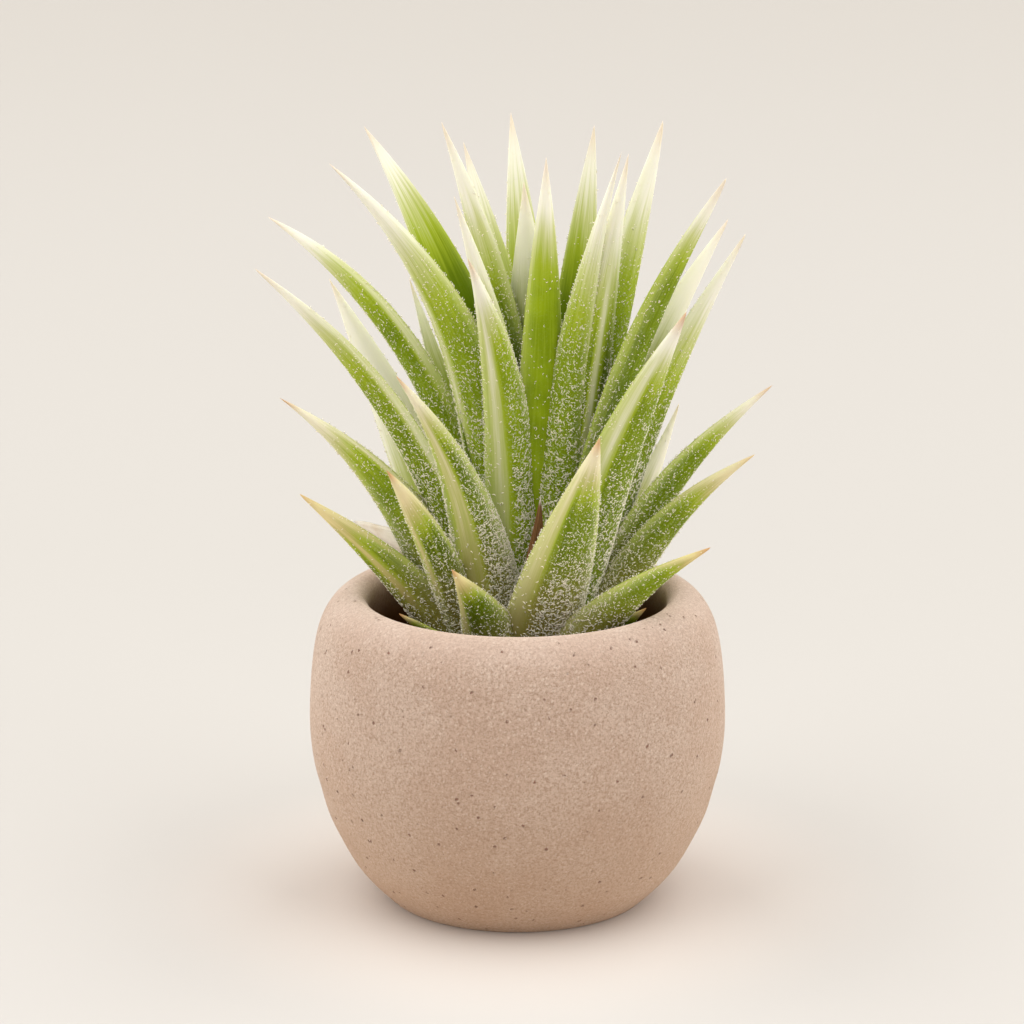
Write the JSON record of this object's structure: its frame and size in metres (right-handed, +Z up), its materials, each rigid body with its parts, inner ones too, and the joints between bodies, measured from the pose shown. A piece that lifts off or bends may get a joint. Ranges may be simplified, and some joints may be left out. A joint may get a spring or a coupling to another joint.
{
  "type": "potted air plant",
  "caption": "Air plant with a rosette of thick, channelled, pointed leaves standing in a small round stoneware pot with a thick rolled lip.",
  "frame": {"origin": "centre of the pot's flat underside", "axes": "+Z up the pot's axis, -Y towards the viewer of the picture, +X to that viewer's right"},
  "size_m": [0.0921, 0.076, 0.1433],
  "materials": {
    "stoneware": "matte",
    "stem_wood": "matte",
    "living_leaf": "satin",
    "dry_leaf": "matte"
  },
  "bodies": {
    "root": {"pot": "stoneware", "stem": "stem_wood", "leaf_01": "living_leaf", "leaf_02": "living_leaf", "leaf_03": "living_leaf", "leaf_04": "living_leaf", "leaf_05": "living_leaf", "leaf_06": "living_leaf", "leaf_07": "living_leaf", "leaf_08": "living_leaf", "leaf_09": "living_leaf", "leaf_10": "living_leaf", "leaf_11": "living_leaf", "leaf_12": "living_leaf", "leaf_13": "living_leaf", "leaf_14": "living_leaf", "leaf_15": "living_leaf", "leaf_16": "living_leaf", "leaf_17": "living_leaf", "leaf_18": "living_leaf", "leaf_19": "living_leaf", "leaf_20": "living_leaf", "leaf_21": "living_leaf", "leaf_22": "living_leaf", "leaf_23": "living_leaf", "leaf_24": "living_leaf", "leaf_25": "living_leaf", "leaf_26": "living_leaf", "leaf_27": "living_leaf", "leaf_28": "living_leaf", "leaf_29": "living_leaf", "leaf_30": "living_leaf", "leaf_31": "living_leaf", "leaf_32": "living_leaf", "leaf_33": "living_leaf", "leaf_34": "living_leaf", "leaf_35": "living_leaf", "leaf_36": "living_leaf", "leaf_37": "living_leaf", "leaf_38": "living_leaf", "leaf_39": "living_leaf", "leaf_40": "living_leaf", "leaf_41": "living_leaf", "leaf_42": "living_leaf", "leaf_43": "living_leaf", "dry_leaf_1": "dry_leaf", "dry_leaf_2": "dry_leaf"}
  },
  "joints": []
}
